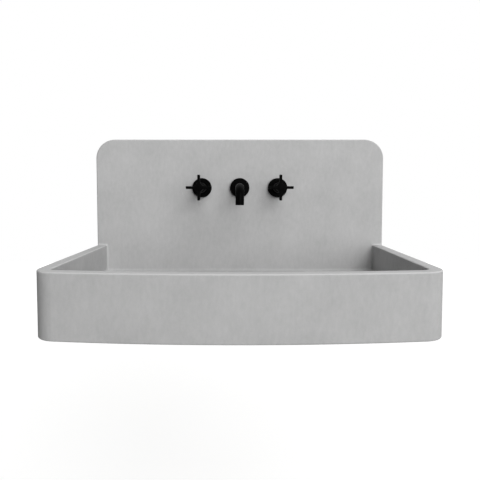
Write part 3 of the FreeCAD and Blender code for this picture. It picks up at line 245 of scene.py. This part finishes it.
for tap in ("hot", "cold"):
    dress(brass, f"{tap}_valve_body", f"{tap}_locknut", f"{tap}_cartridge_housing", f"{tap}_spindle")
    dress(rubber, f"{tap}_rear_washer", f"{tap}_front_washer", f"{tap}_disc_seal")

# Sintered alumina is a smooth creamy white with a faint speckle
ceramic, tree, shader, place = new_material("sintered_alumina", {"IOR": 1.76})
speckle = add(tree, "TexNoise", {"Vector": place, "Scale": 1 / (1.2 * MM), "Detail": 3})
colour = add(tree, "Mix", {
    "Factor": speckle.outputs[0], "A": linear(CERAMIC_WHITE), "B": linear(CERAMIC_CREAM),
}, data_type="RGBA")
polish = add(tree, "MapRange", {"Value": speckle.outputs[0], "To Min": 0.12, "To Max": 0.22})
vary(tree, shader, {"Base Color": colour.outputs[2], "Roughness": polish.outputs[0]})
dress(ceramic, "hot_moving_disc", "hot_fixed_disc", "cold_moving_disc", "cold_fixed_disc")

# The rosettes: shallow covers pressed from brass sheet and lacquered matt black, one over each hole in the
# splashback. They hide the locknuts, and the sleeve or spout in front holds them on.

LACQUER_BLACK = "#010101"
LACQUER_RUBBED = "#050505"
OUT = Vector((0, -1, 0))
NEAR = 0.01
SEAM = 0.001
TURN_STEPS = 96
ROUND_STEPS = 5
SHARP_ANGLE = math.radians(35)
SPLASH_FACE = -25
TAP_LEVEL = 152.7
TAP_PLACES = {"hot": -100, "spout": 0, "cold": 100}
ROSETTE_RADIUS = 25.5
ROSETTE_HEIGHT = 9
ROSETTE_ROUND = 1.8
ROSETTE_SHEET = 2.5
ROSETTE_HOLES = {"hot": 10.9, "spout": 9.4, "cold": 10.9}


def rounded(mesh, edges, size, steps):
    """Rounds these edges of a mesh off."""
    bmesh.ops.bevel(
        mesh, geom=edges, offset=size, segments=steps, profile=0.5, affect="EDGES", material=-1,
    )


def turned(profile, base, axis):
    """A turned mesh: rows of radius, height and edge rounding in millimetres, spun round an axis."""
    across = axis.orthogonal().normalized()
    mesh = bmesh.new()
    points = [mesh.verts.new(base + (across * row[0] + axis * row[1]) * MM) for row in profile]
    lines = [mesh.edges.new(pair) for pair in zip(points, points[1:])]
    bmesh.ops.spin(
        mesh, geom=points + lines, cent=base, axis=axis, angle=math.tau, steps=TURN_STEPS, use_merge=True,
    )
    bmesh.ops.remove_doubles(mesh, verts=mesh.verts, dist=SEAM * MM)
    bmesh.ops.recalc_face_normals(mesh, faces=mesh.faces)
    for radius, height, rounding in profile:
        if not rounding:
            continue
        ring = []
        for edge in mesh.edges:
            spots = [(point.co - base) / MM for point in edge.verts]
            level = all(abs(spot.dot(axis) - height) < NEAR for spot in spots)
            if level and all(abs(spot.cross(axis).length - radius) < NEAR for spot in spots):
                ring.append(edge)
        rounded(mesh, ring, rounding * MM, ROUND_STEPS)
    return mesh


def placed(name, mesh, material):
    """Puts a mesh into the scene as an object of one material."""
    data = bpy.data.meshes.new(name)
    mesh.to_mesh(data)
    mesh.free()
    data.materials.append(material)
    piece = bpy.data.objects.new(name, data)
    bpy.context.scene.collection.objects.link(piece)
    return piece


def finished(name, mesh, material, slot, body, *nodes):
    """Makes a mesh a smooth piece that rides on a body and stands for CAD nodes."""
    for face in mesh.faces:
        face.smooth = True
    for edge in mesh.edges:
        edge.smooth = edge.calc_face_angle(0) < SHARP_ANGLE
    piece = placed(name, mesh, material)
    piece.modifiers.new("even_normals", "WEIGHTED_NORMAL").keep_sharp = True
    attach(piece, body)
    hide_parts(*nodes)


# Matt lacquer is nearly black, with a slight orange peel and a soft sheen that is rubbed up in places.
# The peel of half a millimetre is drawn at 2 mm
lacquer, tree, shader, place = new_material("matt_black_lacquer", {"Specular IOR Level": 0.018})
peel = add(tree, "TexNoise", {"Vector": place, "Scale": 1 / (2 * MM), "Detail": 1})
rubbed_and_highlight = add(tree, "TexNoise", {"Vector": place, "Scale": 1 / (12 * MM), "Detail": 4})
colour = add(tree, "Mix", {
    "Factor": rubbed_and_highlight.outputs[0], "A": linear(LACQUER_BLACK), "B": linear(LACQUER_RUBBED),
}, data_type="RGBA")
sheen = add(tree, "MapRange", {"Value": rubbed_and_highlight.outputs[0], "To Min": 0.44, "To Max": 0.28})
relief = add(tree, "Bump", {"Height": peel.outputs[0], "Strength": 0.12, "Distance": 0.2 * MM})
vary(tree, shader, {
    "Base Color": colour.outputs[2], "Roughness": sheen.outputs[0], "Normal": relief.outputs[0],
})
for tap, x in TAP_PLACES.items():
    inside, hole = ROSETTE_RADIUS - ROSETTE_SHEET, ROSETTE_HOLES[tap]
    cover = turned([
        (inside, 0, 0),
        (ROSETTE_RADIUS, 0, 0.4),
        (ROSETTE_RADIUS, ROSETTE_HEIGHT, ROSETTE_ROUND),
        (hole, ROSETTE_HEIGHT, 0.3),
        (hole, ROSETTE_HEIGHT - ROSETTE_SHEET, 0),
        (inside, ROSETTE_HEIGHT - ROSETTE_SHEET, 1),
        (inside, 0, 0),
    ], Vector((x, SPLASH_FACE, TAP_LEVEL)) * MM, OUT)
    finished(f"{tap}_cover", cover, lacquer, "black_metal", "sink", f"{tap}_rosette")

# The handles: on each neck a lacquered sleeve covers the cartridge, and in front of it a hub with a rounded
# shoulder turns with a cross of four bars, which is cast with coves between its arms. A screw up the middle
# holds hub and cross on the spindle, under a press-in cap.

SLEEVE_BACK = -34
SLEEVE_LENGTH = 28
SLEEVE_RADIUS = 13
SLEEVE_BORE = 10.6
HUB_BACK = -62.4
HUB_LENGTH = 59.15
HUB_ROOT = 9
HUB_SHOULDER = 8
HUB_ROUND = 4
HUB_TIP_RADIUS = 8.5
SPINDLE_SOCKET = (4.1, 32)
SCREW_HOLE = 2.3
CROSS_BACK = -121.55
ARM_THICK = 6.9
ARM_REACH = 31.4
ARM_COVE = 12
COVE_STEPS = 12
ARM_TIP_ROUND = 1.5
ARM_EDGE_ROUND = 1.3
ARM_ROUND_STEPS = 6
CAP_RADIUS = 6.5
CAP_HEIGHT = 2
CAP_ROUND = 1


def cross_of_arms(centre):
    """Four equal arms in one plane: a cove spun between two arms, turned four times, filled and raised."""
    half = ARM_THICK / 2
    cove = half + ARM_COVE
    mesh = bmesh.new()
    tip, bend = [mesh.verts.new((reach, 0, half)) for reach in (ARM_REACH, cove)]
    mesh.edges.new((tip, bend))
    arc = bmesh.ops.spin(
        mesh, geom=[bend], cent=(cove, 0, cove), axis=(0, 1, 0), angle=math.pi / 2, steps=COVE_STEPS,
    )
    end = next(item for item in arc["geom_last"] if isinstance(item, bmesh.types.BMVert))
    mesh.edges.new((end, mesh.verts.new((half, 0, ARM_REACH))))
    quarter = mesh.verts[:] + mesh.edges[:]
    bmesh.ops.spin(
        mesh, geom=quarter, cent=(0, 0, 0), axis=(0, 1, 0), angle=math.tau * 3 / 4, steps=3,
        use_duplicate=True,
    )
    loose = [point for point in mesh.verts if len(point.link_edges) == 1]
    for point in loose:
        others = [other for other in loose if other is not point]
        near = min(others, key=lambda other: (other.co - point.co).length)
        if not mesh.edges.get((point, near)):
            mesh.edges.new((point, near))
    star = bmesh.ops.contextual_create(mesh, geom=mesh.edges[:])["faces"]
    raised = bmesh.ops.extrude_face_region(mesh, geom=star, use_keep_orig=True)["geom"]
    moved = [item for item in raised if isinstance(item, bmesh.types.BMVert)]
    bmesh.ops.translate(mesh, verts=moved, vec=OUT * ARM_THICK)
    bmesh.ops.recalc_face_normals(mesh, faces=mesh.faces)
    tips = [
        edge for edge in mesh.edges
        if abs(edge.verts[0].co.y - edge.verts[1].co.y) > half
        and max(abs(edge.verts[0].co.x), abs(edge.verts[0].co.z)) > ARM_REACH - NEAR
    ]
    rounded(mesh, tips, ARM_TIP_ROUND, ARM_ROUND_STEPS)
    rims = [edge for edge in mesh.edges if abs(edge.verts[0].co.y - edge.verts[1].co.y) < NEAR]
    rounded(mesh, rims, ARM_EDGE_ROUND, ARM_ROUND_STEPS)
    bmesh.ops.scale(mesh, verts=mesh.verts, vec=(MM, MM, MM))
    bmesh.ops.translate(mesh, verts=mesh.verts, vec=centre)
    return mesh


socket, socket_depth = SPINDLE_SOCKET
for tap in ("hot", "cold"):
    x = TAP_PLACES[tap]
    sleeve = turned([
        (SLEEVE_BORE, 0, 0),
        (SLEEVE_RADIUS, 0, 0.5),
        (SLEEVE_RADIUS, SLEEVE_LENGTH, 0.7),
        (SLEEVE_BORE, SLEEVE_LENGTH, 0.2),
        (SLEEVE_BORE, 0, 0),
    ], Vector((x, SLEEVE_BACK, TAP_LEVEL)) * MM, OUT)
    finished(f"{tap}_sleeve", sleeve, lacquer, "black_metal", "sink", f"{tap}_cover_sleeve")
    hub = turned([
        (socket, 0, 0),
        (SLEEVE_RADIUS, 0, 0.7),
        (SLEEVE_RADIUS, HUB_ROOT, HUB_ROUND),
        (HUB_TIP_RADIUS, HUB_ROOT + HUB_SHOULDER, HUB_ROUND),
        (HUB_TIP_RADIUS, HUB_LENGTH, 0.3),
        (SCREW_HOLE, HUB_LENGTH, 0),
        (SCREW_HOLE, socket_depth, 0),
        (socket, socket_depth, 0),
        (socket, 0, 0),
    ], Vector((x, HUB_BACK, TAP_LEVEL)) * MM, OUT)
    finished(f"{tap}_hub", hub, lacquer, "black_metal", f"{tap}_handle", f"{tap}_handle_hub")
    arms = cross_of_arms(Vector((x, CROSS_BACK, TAP_LEVEL)) * MM)
    finished(f"{tap}_cross", arms, lacquer, "black_metal", f"{tap}_handle", f"{tap}_cross_arms")
    cap = turned([
        (0, 0, 0), (CAP_RADIUS, 0, 0.2), (CAP_RADIUS, CAP_HEIGHT, CAP_ROUND), (0, CAP_HEIGHT, 0),
    ], Vector((x, CROSS_BACK - ARM_THICK, TAP_LEVEL)) * MM, OUT)
    finished(f"{tap}_cap", cap, lacquer, "black_metal", f"{tap}_handle", f"{tap}_index_cap")

# The spout: brass tube bent down at its end, drawn in slightly round the bend and lacquered like the taps.
# It screws on to the neck of a tee behind the wall, and an aerator with a jet plate screws into its mouth.

SPOUT_RADIUS = 11
SPOUT_BACK = -34
NECK_SOCKET = (9.1, 12.4)
TUBE_SIDES = 64
BEND_FRONT = -149
BEND_RADIUS = 26
BEND_STEPS = 24
ELBOW_RADIUS = 10.5
TIP_LENGTH = 15
TIP_RADIUS = 10.1
LIP_ROUND = 1.75
AERATOR_SEAT = 8.3
SEAT_DEPTH = 9
SPOUT_BORE = 7.5
PLASTIC_GREY = "#C9CACC"
PLASTIC_SHADE = "#B4B6B8"

# One ring runs out along the tube, round the bend, in at the mouth and back through the bore to its start
socket, socket_depth = NECK_SOCKET
straight = SPOUT_BACK - BEND_FRONT
elbow = Matrix.Translation((0, BEND_FRONT, TAP_LEVEL - BEND_RADIUS))
swing = math.pi / 2 / BEND_STEPS
down, back = [
    elbow @ Matrix.Rotation(angle, 4, "X") @ elbow.inverted() for angle in (swing, -swing)
]
narrowing = (TIP_RADIUS / ELBOW_RADIUS) ** (1 / BEND_STEPS)
runs = [
    (SPOUT_RADIUS / socket, Matrix()),
    (ELBOW_RADIUS / SPOUT_RADIUS, Matrix.Translation(OUT * straight)),
    *[(narrowing, down)] * BEND_STEPS,
    (1, Matrix.Translation((0, 0, -TIP_LENGTH))),
    (AERATOR_SEAT / TIP_RADIUS, Matrix()),
    (1, Matrix.Translation((0, 0, SEAT_DEPTH))),
    (SPOUT_BORE / AERATOR_SEAT, Matrix()),
    (1, Matrix.Translation((0, 0, TIP_LENGTH - SEAT_DEPTH))),
    *[(1, back)] * BEND_STEPS,
    (1, Matrix.Translation(OUT * (socket_depth - straight))),
    (socket / SPOUT_BORE, Matrix()),
    (1, Matrix.Translation(OUT * -socket_depth)),
]
mesh = bmesh.new()
upright = Matrix.Translation((0, SPOUT_BACK, TAP_LEVEL)) @ Matrix.Rotation(math.pi / 2, 4, "X")
bmesh.ops.create_circle(mesh, segments=TUBE_SIDES, radius=socket, matrix=upright)
rim = mesh.edges[:]
for growth, move in runs:
    grown = bmesh.ops.extrude_edge_only(mesh, edges=rim)["geom"]
    rim = [item for item in grown if isinstance(item, bmesh.types.BMEdge)]
    points = list(dict.fromkeys(point for edge in rim for point in edge.verts))
    middle = sum((point.co for point in points), Vector()) / len(points)
    bmesh.ops.scale(mesh, verts=points, vec=(growth,) * 3, space=Matrix.Translation(-middle))
    bmesh.ops.transform(mesh, matrix=move, verts=points)
bmesh.ops.remove_doubles(mesh, verts=mesh.verts, dist=SEAM)
bmesh.ops.recalc_face_normals(mesh, faces=mesh.faces)
end = Vector((0, BEND_FRONT - BEND_RADIUS, TAP_LEVEL - BEND_RADIUS - TIP_LENGTH))
lip = [
    edge for edge in mesh.edges
    if all(abs((point.co - end).length - TIP_RADIUS) < NEAR for point in edge.verts)
]
rounded(mesh, lip, LIP_ROUND, ROUND_STEPS)
bmesh.ops.scale(mesh, verts=mesh.verts, vec=(MM, MM, MM))
finished("bent_spout", mesh, lacquer, "black_metal", "sink", "spout_tube")
dress(lacquer, "aerator_housing")
dress(brass, "spout_tee", "spout_locknut")
dress(rubber, "spout_rear_washer", "spout_front_washer")

# Moulded acetal is a pale waxy grey with a soft even gloss
plastic, tree, shader, place = new_material("moulded_acetal", {"Specular IOR Level": 0.5})
flow = add(tree, "TexNoise", {"Vector": place, "Scale": 1 / (4 * MM), "Detail": 2, "Distortion": 0.6})
colour = add(tree, "Mix", {
    "Factor": flow.outputs[0], "A": linear(PLASTIC_GREY), "B": linear(PLASTIC_SHADE),
}, data_type="RGBA")
gloss = add(tree, "MapRange", {"Value": flow.outputs[0], "To Min": 0.4, "To Max": 0.55})
vary(tree, shader, {"Base Color": colour.outputs[2], "Roughness": gloss.outputs[0]})
dress(plastic, "aerator_insert")

# The pipes: two short lengths of 15 mm copper tube behind the wall bring hot and cold water to the tee.
# A brass compression nut grips each end.

COPPER_BRIGHT = "#C98D68"
COPPER_BROWN = "#9C6346"

# Drawn copper is pinkish, with brown fingermarks and long faint drawing lines along the tube
copper, tree, shader, place = new_material("drawn_copper", {"Metallic": 1.0})
marks = add(tree, "TexNoise", {"Vector": place, "Scale": 1 / (15 * MM), "Detail": 5, "Roughness": 0.65})
along = add(tree, "Mapping", {"Vector": place, "Scale": (1 / (80 * MM), 1 / (1.2 * MM), 1 / (1.2 * MM))})
drawing = add(tree, "TexNoise", {"Vector": along.outputs[0], "Scale": 1, "Detail": 2})
colour = add(tree, "Mix", {
    "Factor": marks.outputs[0], "A": linear(COPPER_BRIGHT), "B": linear(COPPER_BROWN),
}, data_type="RGBA")
gloss = add(tree, "MapRange", {"Value": marks.outputs[0], "To Min": 0.22, "To Max": 0.45})
relief = add(tree, "Bump", {"Height": drawing.outputs[0], "Strength": 0.15, "Distance": 0.2 * MM})
vary(tree, shader, {
    "Base Color": colour.outputs[2], "Roughness": gloss.outputs[0], "Normal": relief.outputs[0],
})
dress(copper, "hot_transfer_pipe", "cold_transfer_pipe")
dress(brass, "compression_nuts")

# The waste: a lacquered brass body that drops through the floor of the bowl, with its flange in a recess.
# A back nut pulls it down on two rubber seals, and a tailpiece for the trap screws into its lower end.

dress(lacquer, "waste_body", "waste_tailpiece")
dress(brass, "waste_back_nut", "click_cartridge")
dress(rubber, "waste_top_seal", "waste_lower_seal")

# The plug: a turned and lacquered brass cap with a rubber seal under it and a stem that clicks up and down
# in the waste's cartridge.

PLUG_RADIUS = 31
PLUG_LEVEL = -80
PLUG_THICK = 5
PLUG_ROUND = 2
DRAIN_SETBACK = -225

cap = turned([
    (0, 0, 0), (PLUG_RADIUS, 0, 0.4), (PLUG_RADIUS, PLUG_THICK, PLUG_ROUND), (0, PLUG_THICK, 0),
], Vector((0, DRAIN_SETBACK, PLUG_LEVEL)) * MM, Vector((0, 0, 1)))
finished("plug_top", cap, lacquer, "black_metal", "plug", "plug_cap")
dress(rubber, "plug_seal")
dress(brass, "plug_stem")

# The stage: a matt painted floor well below the wall-hung sink, lit by three soft lamps, with the camera in
# front at the height of the taps. Floor and surroundings look white to the camera and in reflections, but
# they throw little light back, and the floor still shows the sink's faint shadow.

WHITE = (1, 1, 1, 1)
FLOOR_LEVEL = -0.85
FLOOR_HALF = 5
FLOOR_PALE = "#A6A6A5"
FLOOR_GLOW = (0.74, 0.9)
GLOW_REACH = (1.2, 5)
WORLD_LIGHT = 0.01
KEY_WIDTH = 3.2
KEY_DISTANCE = 3.5
KEY_TARGET = Vector((0, -0.1, 0.1))
CAMERA_PLACE = (0, -1.2447, 0.14786)
CAMERA_DIP = 3.0856
LENS_LENGTH = 34.4
LENS_SHIFT = (0.0005, -0.0535)


def seen_by_eye(tree):
    """One where a surface is seen by the camera, in a reflection or through glass, else zero."""
    rays = add(tree, "LightPath").outputs
    straight = add(tree, "Math", {0: rays["Is Camera Ray"], 1: rays["Is Glossy Ray"]}, operation="MAXIMUM")
    return add(tree, "Math", {
        0: straight.outputs[0], 1: rays["Is Transmission Ray"],
    }, operation="MAXIMUM").outputs[0]


painted, tree, shader, place = new_material("painted_floor", {
    "Base Color": linear(FLOOR_PALE), "Roughness": 0.9, "Specular IOR Level": 0.2, "Emission Color": WHITE,
})
away = add(tree, "VectorMath", {0: place}, operation="LENGTH").outputs["Value"]
dim, bright = FLOOR_GLOW
near, far = GLOW_REACH
evened = add(tree, "MapRange", {
    "Value": away, "From Min": near, "From Max": far, "To Min": dim, "To Max": bright,
})
glow = add(tree, "Math", {0: seen_by_eye(tree), 1: evened.outputs[0]}, operation="MULTIPLY")
vary(tree, shader, {"Emission Strength": glow.outputs[0]})
mesh = bmesh.new()
bmesh.ops.create_grid(mesh, x_segments=2, y_segments=2, size=FLOOR_HALF)
bmesh.ops.translate(mesh, verts=mesh.verts, vec=(0, 0, FLOOR_LEVEL))
floor = placed("studio_floor", mesh, painted)

world = bpy.data.worlds.new("white_studio")
bpy.context.scene.world = world
world.use_nodes = True
tree = world.node_tree
background = tree.nodes["Background"]
background.inputs["Color"].default_value = WHITE
level = add(tree, "MapRange", {"Value": seen_by_eye(tree), "To Min": WORLD_LIGHT, "To Max": 1.0})
vary(tree, background, {"Strength": level.outputs[0]})

# The key is kept out of reflections, where it would lay a haze on the black lacquer
for name, kind, strength, spread, bearing, height in (
    ("key_light", "AREA", 78, KEY_WIDTH, 25, 46),
    ("side_light", "SUN", 1.86, math.radians(50), 26, 12),
    ("back_light", "SUN", 1.25, math.radians(80), 170, 60),
):
    lamp = bpy.data.lights.new(name, kind)
    lamp.energy = strength
    light = bpy.data.objects.new(name, lamp)
    light.rotation_euler = (math.radians(90 - height), 0, math.radians(bearing))
    if kind == "AREA":
        lamp.shape = "DISK"
        lamp.size = spread
        light.location = light.rotation_euler.to_matrix() @ Vector((0, 0, KEY_DISTANCE)) + KEY_TARGET
        light.visible_camera = False
        light.visible_glossy = False
    else:
        lamp.angle = spread
    bpy.context.scene.collection.objects.link(light)

lens = bpy.data.cameras.new("camera")
lens.lens = LENS_LENGTH
lens.shift_x, lens.shift_y = LENS_SHIFT
camera = bpy.data.objects.new("camera", lens)
camera.location = CAMERA_PLACE
camera.rotation_euler = (math.radians(90 - CAMERA_DIP), 0, 0)
bpy.context.scene.collection.objects.link(camera)
bpy.context.scene.camera = camera
bpy.context.scene.view_settings.view_transform = "Standard"
